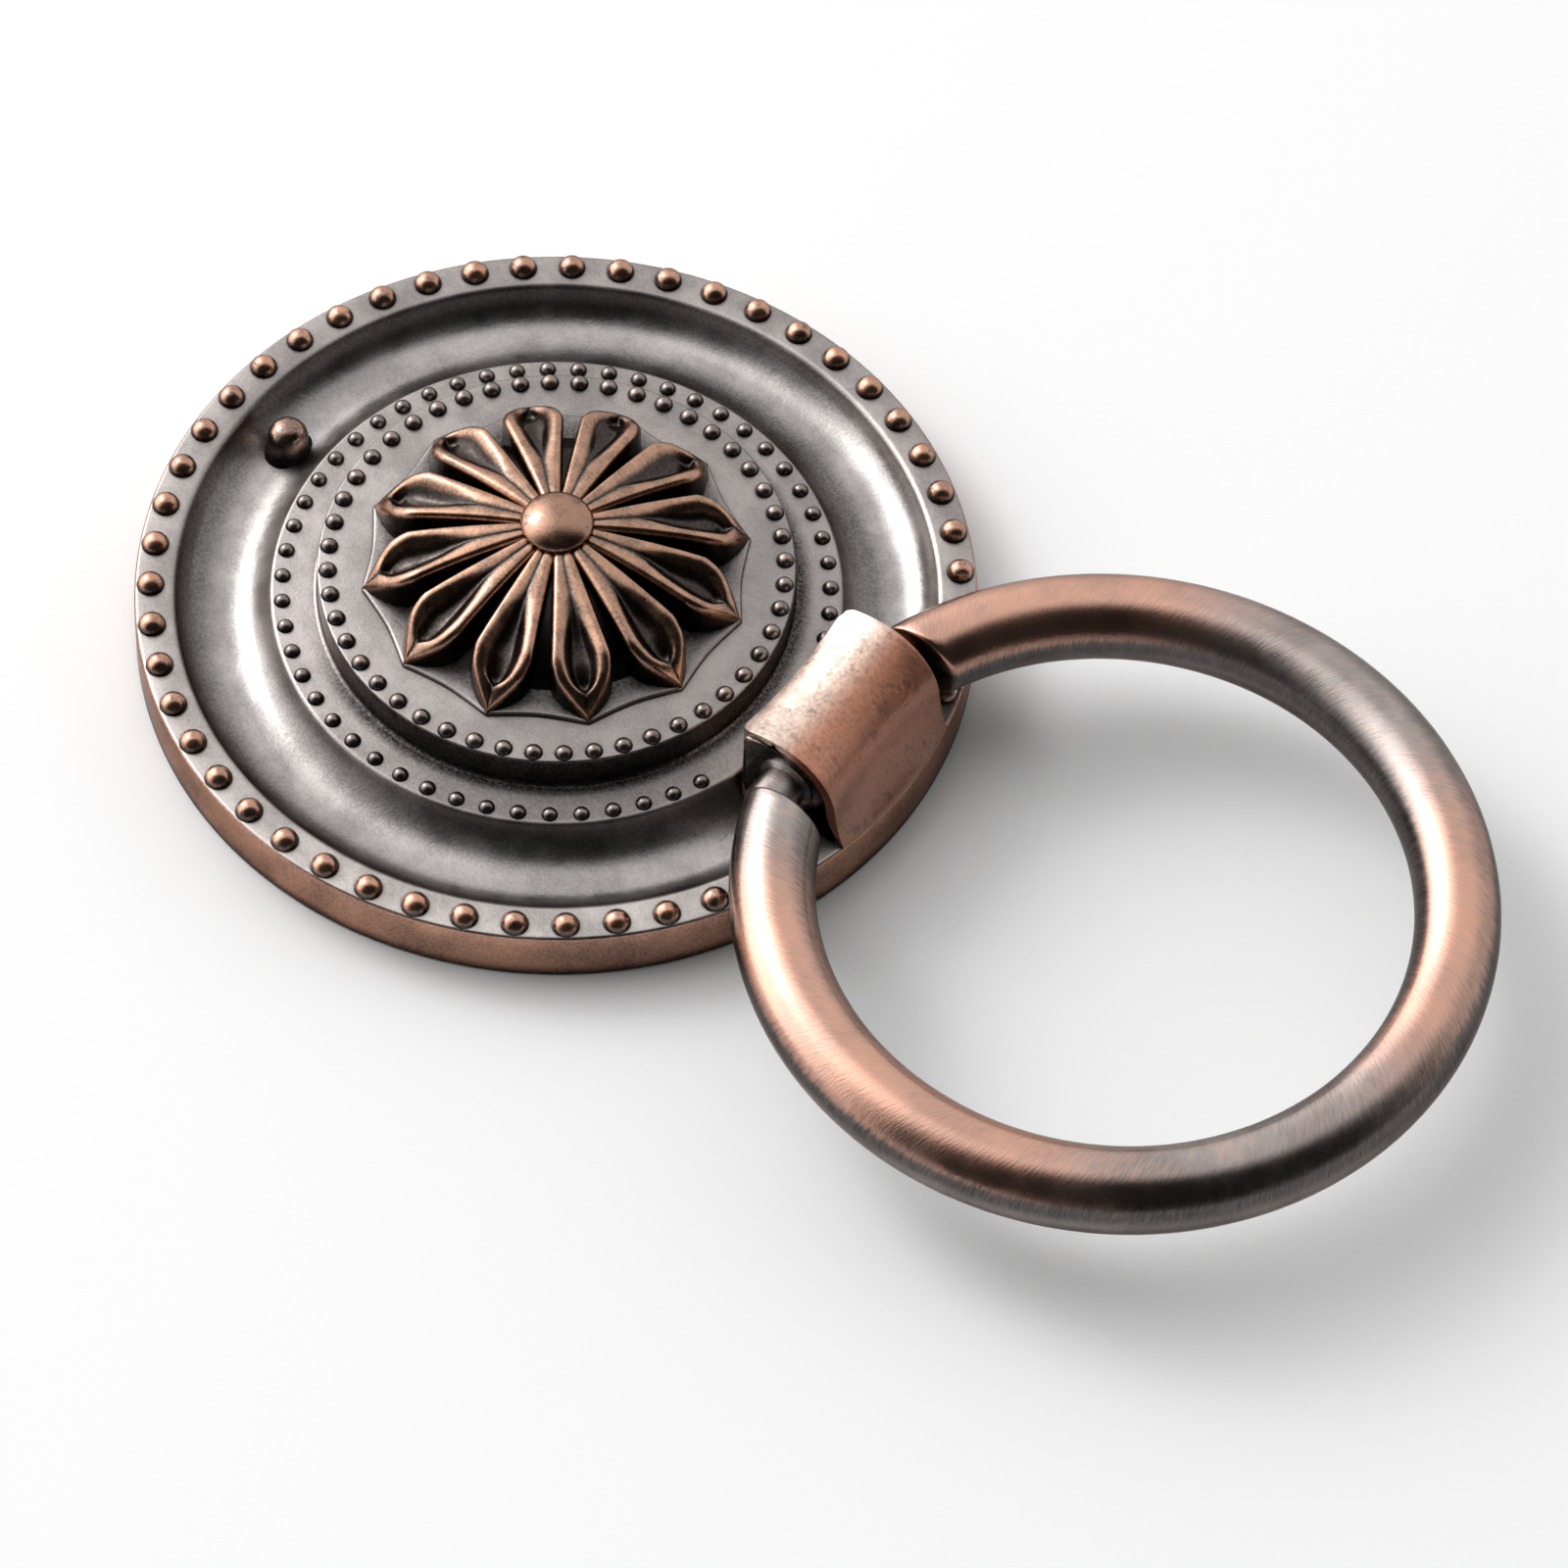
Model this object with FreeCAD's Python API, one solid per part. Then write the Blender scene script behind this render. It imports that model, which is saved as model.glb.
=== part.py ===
import FreeCAD, Part
import math
import os

from FreeCAD import Vector

# Ring pull for a drawer or a cabinet door, in millimetres. The back of the plate lies on z = 0 with
# its centre at the origin, +Z points out of the furniture, and the ring hangs from the +X side.

# Plate: a turned form with a flat rim, a hollow trough, a shoulder and a raised disc
plate_radius = 32.5
rim_height = 4.9
rim_width = 3.05
rim_inner_round = 0.35
rim_outer_round = 0.25
trough_width = 7.45
trough_wall_run = 3.15
trough_floor_width = 0.75
trough_floor = 2.5
shoulder_width = 3.6
shoulder_height = 4.9
disc_step = 3.0

# Rings of beads: half-sunk balls along the rim, the shoulder and the disc
rim_bead_radius = 1.2
rim_bead_count = 51
rim_bead_margin = 0.05
shoulder_bead_radius = 0.73
shoulder_bead_count = 55
shoulder_bead_margin = 0.12
disc_bead_radius = 0.8
disc_bead_count = 48
disc_bead_margin = 0.02
bead_sink = 0.15

# Rosette: twelve pointed petals, each a pair of ribs round a sunk middle
petal_count = 12
petal_tip_inset = 0.4
petal_end_length = 2.75
petal_end_bulge = 0.28
petal_corner_angle = 10.2
petal_corner_round = 1.3
petal_waist_angle = 9.5
petal_root_radius = 3.0
petal_root_angle = 9.0
rib_width = 0.85
rib_recess = 1.0
flower_height = 5.45
waist_drop = 0.37
corner_drop = 1.55
sheet_margin = 3.25
sheet_thickness = 0.35
sheet_hollow = 0.35
groove_crown_drop = 1.3
groove_bulge = 1.0

# Button at the middle of the rosette
button_radius = 2.85
button_stem_radius = 2.3
button_rise = 1.5
button_cap_curve = 4.2
button_edge_round = 0.6
button_undercut = 0.4

# Nub that the closed ring lands on
nub_offset = 0.675
nub_radius = 1.62
nub_stem = 1.45

# Lug: a waisted saddle across the rim that holds the ring's two pins
lug_half_length = 6.95
lug_inset = 6.9
lug_rise = 3.15
lug_radius = 5.3
lug_inner_reach = 3.8
lug_waist = 0.48
lug_foot_drop = 0.4
lug_foot_inset = 0.05
lug_lip = 0.9
lug_leg_wall = 0.7
lug_recess_depth = 1.6
lug_sill = 0.05
pin_boss_wall = 0.75
pin_boss_step = 0.15

# Ring: a round bar bent to an open circle, with a pin on each end
bar_radius = 3.27
closed_ring_offset = 0.6
ring_side_shift = 0.9
ring_droop = 1.0
rest_gap = 0.1
bar_end_gap = 1.95
bar_end_round = 0.4
pin_offset = 0.8
pin_radius = 2.3
pin_clearance = 0.06
pin_grip = 2.8
pin_root = 1.0

# Back: a cored hollow round a boss that takes the fixing screw, tapped M4
back_wall = 1.75
hollow_edge = 2.0
boss_radius = 5.2
screw_core_radius = 1.65
screw_depth = 8.0

# Sizes that follow from the ones above
z_axis = Vector(0, 0, 1)
origin = Vector(0, 0, 0)
rim_inner = plate_radius - rim_width
shoulder_radius = rim_inner - trough_width
disc_radius = shoulder_radius - shoulder_width
disc_height = shoulder_height + disc_step
sheet_radius = disc_radius - sheet_margin
petal_tip_radius = sheet_radius - petal_tip_inset
petal_corner_radius = petal_tip_radius - petal_end_length
petal_waist_radius = (petal_root_radius + petal_corner_radius) / 2
petal_step = 360.0 / petal_count
crown_height = disc_height + flower_height
rim_bead_top = rim_height - bead_sink + rim_bead_radius
lug_centre_x = plate_radius - lug_inset
lug_centre_height = rim_height + lug_rise
pivot_height = rim_bead_top + bar_radius + rest_gap
pivot = Vector(lug_centre_x + pin_offset, 0, pivot_height)
ring_radius = (rim_inner + shoulder_radius) / 2
ring_reach = pivot.x - closed_ring_offset
nub_place = ring_radius - closed_ring_offset + nub_offset
bar_end_y = lug_half_length + bar_end_gap
pin_boss_radius = pin_radius + pin_clearance + pin_boss_wall


def polar(radius, angle_deg, z=0.0):
    """Point at a radius and an angle round the plate's axis."""
    angle = math.radians(angle_deg)
    return Vector(radius * math.cos(angle), radius * math.sin(angle), z)


def section(*points):
    """Vectors in the XZ plane from pairs of radius and height."""
    return [Vector(x, 0, z) for x, z in points]


def line(start, end):
    return Part.LineSegment(start, end).toShape()


def arc(start, middle, end):
    return Part.Arc(start, middle, end).toShape()


def as_arc(edge):
    """Circular arc through the ends and the middle of a curved edge; a straight one stays."""
    if isinstance(edge.Curve, Part.Line):
        return edge
    first, last = edge.ParameterRange
    return arc(edge.valueAt(first), edge.valueAt((first + last) / 2), edge.valueAt(last))


def turned(edges):
    """Solid of revolution round the plate's axis from a closed profile in the XZ plane."""
    profile = Part.Face(Part.Wire(edges))
    return profile.revolve(origin, z_axis, 360)


def prism(wire, bottom, height):
    """Upright prism from a closed outline drawn on z = 0."""
    base = Part.Face(wire)
    base.translate(Vector(0, 0, bottom))
    return base.extrude(Vector(0, 0, height))


def cove(floor_x, edge_x, edge_z):
    """Arc that leaves the trough floor level and climbs to an edge."""
    run = edge_x - floor_x
    rise = edge_z - trough_floor
    radius = (run ** 2 + rise ** 2) / (2 * rise)
    half_turn = math.atan2(abs(run), radius - rise) / 2
    middle_x = floor_x + math.copysign(radius * math.sin(half_turn), run)
    middle_z = trough_floor + radius * (1 - math.cos(half_turn))
    start, middle, end = section((floor_x, trough_floor), (middle_x, middle_z), (edge_x, edge_z))
    return arc(start, middle, end)


def edges_round(shape, radius):
    """Circular edges of a turned solid at one radius."""
    drawn = [edge for edge in shape.Edges if not edge.Degenerated]
    circles = [edge for edge in drawn if isinstance(edge.Curve, Part.Circle)]
    return [edge for edge in circles if abs(edge.Curve.Radius - radius) < 1e-6]


def edges_at(shape, radius, height):
    """Those at one height too."""
    found = edges_round(shape, radius)
    return [edge for edge in found if abs(edge.Curve.Center.z - height) < 1e-6]


def plate_body():
    """The stepped plate before its beads, flower and lug."""
    wall_foot = rim_inner - trough_wall_run
    slope_foot = wall_foot - trough_floor_width
    corners = section(
        (0, 0), (plate_radius, 0), (plate_radius, rim_height), (rim_inner, rim_height))
    outer = [line(a, b) for a, b in zip(corners, corners[1:])]
    floor = line(*section((wall_foot, trough_floor), (slope_foot, trough_floor)))
    steps = section(
        (shoulder_radius, shoulder_height), (disc_radius, shoulder_height),
        (disc_radius, disc_height), (0, disc_height), (0, 0))
    inner = [line(a, b) for a, b in zip(steps, steps[1:])]
    wall = cove(wall_foot, rim_inner, rim_height)
    slope = cove(slope_foot, shoulder_radius, shoulder_height)
    body = turned(outer + [wall, floor, slope] + inner)
    body = body.makeFillet(rim_inner_round, edges_at(body, rim_inner, rim_height))
    return body.makeFillet(rim_outer_round, edges_at(body, plate_radius, rim_height))


def bead_ring(edge_radius, margin, bead_radius, base_height, count, phase):
    """Balls just inside a round edge, left out where the lug stands."""
    ring = edge_radius - margin - bead_radius
    beads = []
    for index in range(count):
        place = polar(ring, phase + index * 360.0 / count, base_height - bead_sink)
        under_lug = place.x > lug_centre_x - lug_radius - bead_radius
        if not (under_lug and abs(place.y) < lug_half_length):
            beads.append(Part.makeSphere(bead_radius, place))
    return beads


def all_beads():
    """The three rings; only the disc's ring has a bead on the lug's own line."""
    rim_step = 360.0 / rim_bead_count
    shoulder_step = 360.0 / shoulder_bead_count
    rim = bead_ring(
        plate_radius, rim_bead_margin, rim_bead_radius, rim_height, rim_bead_count, rim_step / 2)
    shoulder = bead_ring(
        shoulder_radius, shoulder_bead_margin, shoulder_bead_radius, shoulder_height,
        shoulder_bead_count, shoulder_step / 2)
    disc = bead_ring(
        disc_radius, disc_bead_margin, disc_bead_radius, disc_height, disc_bead_count, 0)
    return rim + shoulder + disc


def crown(drop=0.0):
    """Turned form of the flower's tops: a low crown, then a steep fall to the petals' tips."""
    foot = disc_height - sheet_thickness
    tip = petal_tip_radius + rib_width / 2
    top, waist, corner, end = section(
        (petal_root_radius - rib_width, crown_height - drop),
        (petal_waist_radius, crown_height - waist_drop - drop),
        (petal_corner_radius, crown_height - corner_drop - drop),
        (tip, disc_height + sheet_thickness - drop / 2))
    middle = (corner + end) * 0.5
    chord = end - corner
    outward = Vector(-chord.z, 0, chord.x).normalize()
    if outward.x < 0:
        outward = outward * -1
    fall_middle = middle + outward * petal_end_bulge
    foot_end, foot_axis, top_axis = section((tip, foot), (0, foot), (0, top.z))
    return turned([
        line(top_axis, top), arc(top, waist, corner), arc(corner, fall_middle, end),
        line(end, foot_end), line(foot_end, foot_axis), line(foot_axis, top_axis)])


def petal_ridge():
    """Ridge line of the ribs of one petal, seen from above, on the +X side."""
    def pair(radius, angle_deg):
        point = polar(radius, angle_deg)
        return point, Vector(point.x, -point.y, 0)

    root, root_m = pair(petal_root_radius, petal_root_angle)
    waist, waist_m = pair(petal_waist_radius, petal_waist_angle)
    corner, corner_m = pair(petal_corner_radius, petal_corner_angle)
    tip = Vector(petal_tip_radius, 0, 0)
    chord = tip - corner
    side = Vector(-chord.y, chord.x, 0).normalize() * petal_end_bulge
    end = (corner + tip) * 0.5 + side
    end_m = Vector(end.x, -end.y, 0)
    sharp = Part.Wire([
        arc(root, waist, corner), arc(corner, end, tip), arc(tip, end_m, corner_m),
        arc(corner_m, waist_m, root_m), line(root_m, root)])
    block = prism(sharp, 0, 1)
    shoulders = []
    for edge in block.Edges:
        foot = Vector(edge.CenterOfMass.x, edge.CenterOfMass.y, 0)
        if min(foot.distanceToPoint(corner), foot.distanceToPoint(corner_m)) < 1e-6:
            shoulders.append(edge)
    block = block.makeFillet(petal_corner_round, shoulders)
    rounded = min(block.Faces, key=lambda face: face.CenterOfMass.z).OuterWire
    return Part.Wire([as_arc(edge) for edge in rounded.OrderedEdges])


def round_the_flower(shape):
    """One copy of a shape for each petal; a groove, not a petal, points at the lug."""
    copies = []
    for index in range(petal_count):
        copy = shape.copy()
        copy.rotate(origin, z_axis, (index + 0.5) * petal_step)
        copies.append(copy)
    return copies


def petals():
    """All petals: a rib runs round each one's outline and its middle is sunk."""
    ridge = petal_ridge()
    bottom = disc_height
    height = flower_height + rib_width
    outsides = round_the_flower(prism(ridge.makeOffset2D(rib_width / 2), bottom, height))
    insides = round_the_flower(prism(ridge.makeOffset2D(-rib_width / 2), bottom, height))
    body = outsides[0].multiFuse(outsides[1:]).common(crown())
    middles = Part.makeCompound(insides).cut(crown(rib_recess))
    return body.cut(middles)


def groove_floor():
    """Low dome between the petals, so that the grooves deepen toward the tips."""
    top_height = crown_height - groove_crown_drop
    foot_height = disc_height + sheet_thickness
    middle_height = (top_height + foot_height) / 2 + groove_bulge
    axis_top, top, middle, end, foot, axis_foot = section(
        (0, top_height), (button_stem_radius, top_height),
        ((button_stem_radius + petal_corner_radius) / 2, middle_height),
        (petal_corner_radius, foot_height), (petal_corner_radius, disc_height), (0, disc_height))
    return turned([
        arc(top, middle, end), line(end, foot), line(foot, axis_foot),
        line(axis_foot, axis_top), line(axis_top, top)])


def flower_sheet():
    """Thin twelve-pointed sheet under the petals, a little hollow between its points."""
    hollow_radius = sheet_radius * math.cos(math.radians(petal_step / 2)) - sheet_hollow
    sides = []
    for index in range(petal_count):
        start = (index + 0.5) * petal_step
        sides.append(arc(
            polar(sheet_radius, start), polar(hollow_radius, start + petal_step / 2),
            polar(sheet_radius, start + petal_step)))
    return prism(Part.Wire(sides), disc_height - sheet_thickness, 2 * sheet_thickness)


def button():
    """Domed button on a narrower stem over the middle of the flower."""
    top = crown_height + button_rise
    head_low = crown_height - button_undercut
    head = Part.makeCylinder(button_radius, 2 * button_rise, Vector(0, 0, head_low), z_axis)
    ball = Part.makeSphere(button_cap_curve, Vector(0, 0, top - button_cap_curve))
    head = head.common(ball)
    rim = max(edges_round(head, button_radius), key=lambda edge: edge.CenterOfMass.z)
    head = head.makeFillet(button_edge_round, [rim])
    stem_height = head_low - disc_height
    stem = Part.makeCylinder(button_stem_radius, stem_height, Vector(0, 0, disc_height), z_axis)
    return stem.fuse(head)


def rosette():
    """The flower's solids: sheet, groove floor, petals and button."""
    return [flower_sheet(), groove_floor(), petals(), button()]


def nub():
    """Short pin with a round head on the trough floor, opposite the lug."""
    foot = Vector(-nub_place, 0, trough_floor / 2)
    head = Vector(-nub_place, 0, trough_floor + nub_stem)
    stem = Part.makeCylinder(nub_radius, head.z - foot.z, foot, z_axis)
    return stem.fuse(Part.makeSphere(nub_radius, head))


def foot_reach(y):
    """How far out the lug's foot stands: just inside the plate's side."""
    return math.sqrt(plate_radius ** 2 - y ** 2) - lug_foot_inset


def lug_section(y, radius):
    """Section of the lug: upright inner leg, arched back, outer leg flared onto the rim's side."""
    inner_x = lug_centre_x - lug_inner_reach
    outer_x = lug_centre_x + radius
    foot_x = foot_reach(y)
    root = trough_floor / 2
    spread = foot_x - outer_x
    foot_height = rim_height - lug_foot_drop
    drop = lug_centre_height - foot_height
    flare = (spread ** 2 + drop ** 2) / (2 * spread)
    half_turn = math.asin(drop / flare) / 2
    bend = Vector(
        outer_x + flare * (1 - math.cos(half_turn)), y,
        lug_centre_height - flare * math.sin(half_turn))
    shoulder = lug_centre_height + math.sqrt(radius ** 2 - lug_inner_reach ** 2)
    inner_low = Vector(inner_x, y, root)
    inner_top = Vector(inner_x, y, shoulder)
    crest = Vector(lug_centre_x, y, lug_centre_height + radius)
    outer_top = Vector(outer_x, y, lug_centre_height)
    foot = Vector(foot_x, y, foot_height)
    foot_low = Vector(foot_x, y, root)
    return Part.Wire([
        line(inner_low, inner_top), arc(inner_top, crest, outer_top),
        arc(outer_top, bend, foot), line(foot, foot_low), line(foot_low, inner_low)])


def lug():
    """Waisted saddle: wide at both ends and drawn in at the middle."""
    sections = [
        lug_section(-lug_half_length, lug_radius), lug_section(0, lug_radius - lug_waist),
        lug_section(lug_half_length, lug_radius)]
    return Part.makeLoft(sections, True, False)


def lug_end_recess(side):
    """Sunk end face that leaves a lip round the back and the legs, and a boss round the bore."""
    radius = lug_radius - lug_lip
    reach = lug_inner_reach - lug_leg_wall
    low = rim_height + lug_sill
    y = side * (lug_half_length - lug_recess_depth)
    left_low = Vector(lug_centre_x - reach, y, low)
    left_top = Vector(lug_centre_x - reach, y, lug_centre_height + math.sqrt(radius ** 2 - reach ** 2))
    crest = Vector(lug_centre_x, y, lug_centre_height + radius)
    right_top = Vector(lug_centre_x + radius, y, lug_centre_height)
    right_low = Vector(foot_reach(y) - lug_lip, y, low)
    outline = Part.Wire([
        line(left_low, left_top), arc(left_top, crest, right_top), line(right_top, right_low),
        line(right_low, left_low)])
    along = Vector(0, side, 0)
    recess = Part.Face(outline).extrude(along * 2 * lug_recess_depth)
    start = Vector(pivot.x, y - side * lug_recess_depth, pivot.z)
    length = 2 * lug_recess_depth - pin_boss_step
    return recess.cut(Part.makeCylinder(pin_boss_radius, length, start, along))


def pin_bore():
    """Straight bore through the lug for both pins."""
    start = Vector(pivot.x, -lug_half_length - 1, pivot.z)
    length = 2 * (lug_half_length + 1)
    return Part.makeCylinder(pin_radius + pin_clearance, length, start, Vector(0, 1, 0))


def back_hollow():
    """Cored back: follows the steps of the face and leaves a boss for the screw."""
    wide = shoulder_radius - hollow_edge
    deep_radius = disc_radius - hollow_edge
    low_roof = shoulder_height - back_wall
    high_roof = disc_height - back_wall
    corners = section(
        (boss_radius, -1), (wide, -1), (wide, low_roof), (deep_radius, low_roof),
        (deep_radius, high_roof), (boss_radius, high_roof), (boss_radius, -1))
    return turned([line(a, b) for a, b in zip(corners, corners[1:])])


def screw_hole():
    """Tapped hole in the boss, at its core size."""
    return Part.makeCylinder(screw_core_radius, screw_depth + 1, Vector(0, 0, -1), z_axis)


def backplate():
    """The whole plate casting."""
    solids = [lug(), nub()] + rosette() + all_beads()
    body = plate_body().multiFuse(solids)
    cutters = [lug_end_recess(-1), lug_end_recess(1), pin_bore(), back_hollow(), screw_hole()]
    for cutter in cutters:
        body = body.cut(cutter)
    return body


def ring():
    """The pull ring: an open circle of round bar with a pin on each end, at rest on the rim.

    The pins have end play in the bore, and the ring lies to one side of it."""
    centre = pivot + Vector(ring_reach, 0, 0)
    bar = Part.makeTorus(ring_radius, bar_radius, centre, z_axis)
    mouth = Part.makeBox(
        2 * bar_radius + ring_reach / 2, 2 * bar_end_y, 4 * bar_radius,
        Vector(pivot.x - 2 * bar_radius, -bar_end_y, pivot.z - 2 * bar_radius))
    bar = bar.cut(mouth)
    ends = [e for e in bar.Edges if abs(abs(e.CenterOfMass.y) - bar_end_y) < 1e-3]
    bar = bar.makeFillet(bar_end_round, ends)
    pin_inner = lug_half_length - pin_grip
    pins = []
    for side in (-1, 1):
        start = Vector(pivot.x, side * pin_inner, pivot.z)
        length = bar_end_y + pin_root - pin_inner
        pins.append(Part.makeCylinder(pin_radius, length, start, Vector(0, side, 0)))
    whole = bar.multiFuse(pins)
    whole.translate(Vector(0, -ring_side_shift, 0))
    whole.rotate(pivot, Vector(0, 1, 0), ring_droop)
    return whole


def main():
    """Write each piece and print what it holds."""
    os.makedirs("parts", exist_ok=True)
    for name, shape in (("backplate", backplate()), ("ring", ring())):
        shape.exportStep("parts/" + name + ".step")
        box = shape.BoundBox
        print(name, "solids", len(shape.Solids), "valid", shape.isValid(),
              "volume", round(shape.Volume, 1), "faces", len(shape.Faces))
        print("  x", round(box.XMin, 2), round(box.XMax, 2), "y", round(box.YMin, 2),
              round(box.YMax, 2), "z", round(box.ZMin, 2), round(box.ZMax, 2))


main()
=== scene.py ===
# %% [markdown]
# # A ring pull for a drawer
# The real object is two castings in antique copper: a round beaded plate with a carved flower and
# a saddle lug, and a plain ring that hangs in the lug by two short pins. The fixed frame gives the
# sizes, and everything below is built in millimetres on it and scaled to metres at the end.

import bmesh
import bpy
import math
import random

from mathutils import Matrix, Vector


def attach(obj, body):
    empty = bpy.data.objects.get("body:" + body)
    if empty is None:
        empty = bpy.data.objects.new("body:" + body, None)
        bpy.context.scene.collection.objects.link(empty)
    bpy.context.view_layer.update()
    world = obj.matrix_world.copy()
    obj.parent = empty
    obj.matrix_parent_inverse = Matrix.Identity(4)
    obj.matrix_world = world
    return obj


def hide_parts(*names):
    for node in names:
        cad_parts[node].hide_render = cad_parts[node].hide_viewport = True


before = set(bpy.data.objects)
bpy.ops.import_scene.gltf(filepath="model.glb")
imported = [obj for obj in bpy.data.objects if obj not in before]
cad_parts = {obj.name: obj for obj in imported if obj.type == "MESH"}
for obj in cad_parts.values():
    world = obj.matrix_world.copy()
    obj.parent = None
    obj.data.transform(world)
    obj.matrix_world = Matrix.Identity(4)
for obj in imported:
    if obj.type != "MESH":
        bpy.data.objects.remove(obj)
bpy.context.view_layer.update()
mm = 0.001

# %% [markdown]
# ## The camera
# The picture was taken from well above the table, with a long lens. The angles were found by
# lining up the three rings of beads.

# %% Place the camera
distance = 710.33 * mm
azimuth, elevation = math.radians(35.4), math.radians(54.423)
pan, tilt, roll = math.radians(-2.5215), math.radians(0.9547), math.radians(2.5255)


def sight(turn, climb):
    """Direction to a viewer, for a turn round the object and a climb above the table."""
    flat = math.cos(climb)
    return Vector((math.sin(turn) * flat, -math.cos(turn) * flat, math.sin(climb)))


camera_back = sight(azimuth + pan, elevation + tilt)
camera_right = Vector((math.cos(azimuth + pan), math.sin(azimuth + pan), 0))
camera_up = camera_back.cross(camera_right)
rolled_right = math.cos(roll) * camera_right + math.sin(roll) * camera_up
rolled_up = math.cos(roll) * camera_up - math.sin(roll) * camera_right
camera_data = bpy.data.cameras.new("camera")
camera_data.lens = 210.29
camera_data.sensor_width = 36
camera_data.clip_end = 10
camera = bpy.data.objects.new("camera", camera_data)
bpy.context.scene.collection.objects.link(camera)
turn = Matrix((rolled_right, rolled_up, camera_back)).transposed().to_4x4()
camera.matrix_world = Matrix.Translation(distance * sight(azimuth, elevation)) @ turn
bpy.context.scene.camera = camera
print("camera", [round(v, 3) for v in camera.location])

# %% [markdown]
# ## Three small helpers
# Round parts are easiest as a lathe would cut them: a profile of a few points, spun once round the
# axis. Every finished mesh gets the same last steps, so they are written once: close the seams,
# turn the faces outward, scale to metres, and tie the piece to the body it moves with.

# %% Lathe and finishing helpers
def spun(points, steps):
    """Mesh spun round the Z axis from pairs of radius and height."""
    bm = bmesh.new()
    verts = [bm.verts.new((radius, 0, height)) for radius, height in points]
    edges = [bm.edges.new(pair) for pair in zip(verts, verts[1:])]
    bmesh.ops.spin(bm, geom=verts + edges, cent=(0, 0, 0), axis=(0, 0, 1), dvec=(0, 0, 0),
                   angle=math.tau, steps=steps, use_merge=True, use_duplicate=False)
    bmesh.ops.remove_doubles(bm, verts=bm.verts, dist=0.001)
    bmesh.ops.recalc_face_normals(bm, faces=bm.faces)
    return bm


def soften(bm, edges, width, segments):
    """Round some edges over, as a mould does."""
    bmesh.ops.bevel(bm, geom=list(edges), offset=width, offset_type="OFFSET", segments=segments,
                    profile=0.5, affect="EDGES", material=-1, clamp_overlap=True)


def finish_piece(bm, name, node, crease=35.0):
    """Turn a mesh in millimetres into a piece that stands for a node of the frame."""
    bmesh.ops.remove_doubles(bm, verts=bm.verts, dist=0.001)
    bmesh.ops.recalc_face_normals(bm, faces=bm.faces)
    bmesh.ops.scale(bm, vec=(mm, mm, mm), verts=bm.verts)
    mesh = bpy.data.meshes.new(name)
    bm.to_mesh(mesh)
    bm.free()
    mesh.polygons.foreach_set("use_smooth", [True] * len(mesh.polygons))
    mesh.set_sharp_from_angle(angle=math.radians(crease))
    piece = bpy.data.objects.new(name, mesh)
    bpy.context.scene.collection.objects.link(piece)
    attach(piece, node)
    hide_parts(node)
    print(name, "faces", len(mesh.polygons))
    return piece


# %% [markdown]
# ## The plate
# The plate was turned before it was ever moulded: a flat rim, a hollow trough, a step up to a
# shoulder and another to the disc. So one profile, spun, gives the whole of it, with the cored
# back and the boss for the screw on the underside. The two coves are arcs that leave the trough's
# floor level. Sharp steps catch no light on a real casting, so their edges are rounded after.

# %% Spin the plate
plate_radius, rim_inner, rim_height = 32.5, 29.45, 4.9
trough_floor, wall_foot, slope_foot = 2.5, 26.3, 25.55
shoulder_radius, shoulder_height = 22.0, 4.9
disc_radius, disc_height = 18.4, 7.9


def cove(floor_x, edge_x, edge_z, count=9):
    """Points of an arc from the trough's floor up to an edge."""
    run, rise = edge_x - floor_x, edge_z - trough_floor
    bend = (run ** 2 + rise ** 2) / (2 * rise)
    sweep = math.atan2(abs(run), bend - rise)
    points = []
    for index in range(count + 1):
        angle = sweep * index / count
        x = floor_x + math.copysign(bend * math.sin(angle), run)
        points.append((x, trough_floor + bend * (1 - math.cos(angle))))
    return points


back = [(0, 8.0), (1.65, 8.0), (1.65, 0), (5.2, 0), (5.2, 6.15), (16.4, 6.15), (16.4, 3.15),
        (20.0, 3.15), (20.0, 0), (plate_radius, 0)]
side = [(plate_radius, 1.6), (plate_radius, 3.3), (plate_radius, rim_height)]
wall = cove(wall_foot, rim_inner, rim_height)[::-1]
slope = cove(slope_foot, shoulder_radius, shoulder_height)
steps = [(disc_radius, shoulder_height), (disc_radius, disc_height), (10.0, disc_height),
         (0, disc_height)]
plate = spun(back + side + wall + slope + steps, 216)


def ring_edges(bm, radius, height):
    """Edges that run round the plate at one radius and height."""
    found = []
    for edge in bm.edges:
        if all(abs(v.co.xy.length - radius) < 0.02 and abs(v.co.z - height) < 0.02
               for v in edge.verts):
            found.append(edge)
    return found


soften(plate, ring_edges(plate, plate_radius, rim_height), 0.3, 4)
soften(plate, ring_edges(plate, plate_radius, 0), 0.25, 3)
soften(plate, ring_edges(plate, rim_inner, rim_height), 0.4, 4)
soften(plate, ring_edges(plate, shoulder_radius, shoulder_height), 0.22, 3)
soften(plate, ring_edges(plate, disc_radius, disc_height), 0.2, 3)
soften(plate, ring_edges(plate, disc_radius, shoulder_height), 0.35, 3)
plate_piece = finish_piece(plate, "plate", "backplate")

# %% [markdown]
# ## The beads
# Three rings of half-sunk balls run round the rim, the shoulder and the disc. Each ring is one mesh
# of copies of a small ball. The casting and the polishing wheel left no two quite alike, so every
# copy gets its own slight size, and one smoothing level at the end keeps each copy to few faces.

# %% Set the three rings of beads
lug_centre_x, lug_radius, lug_half_length = 25.6, 5.3, 6.95
bead_sink = 0.15
chance = random.Random(11)


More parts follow.
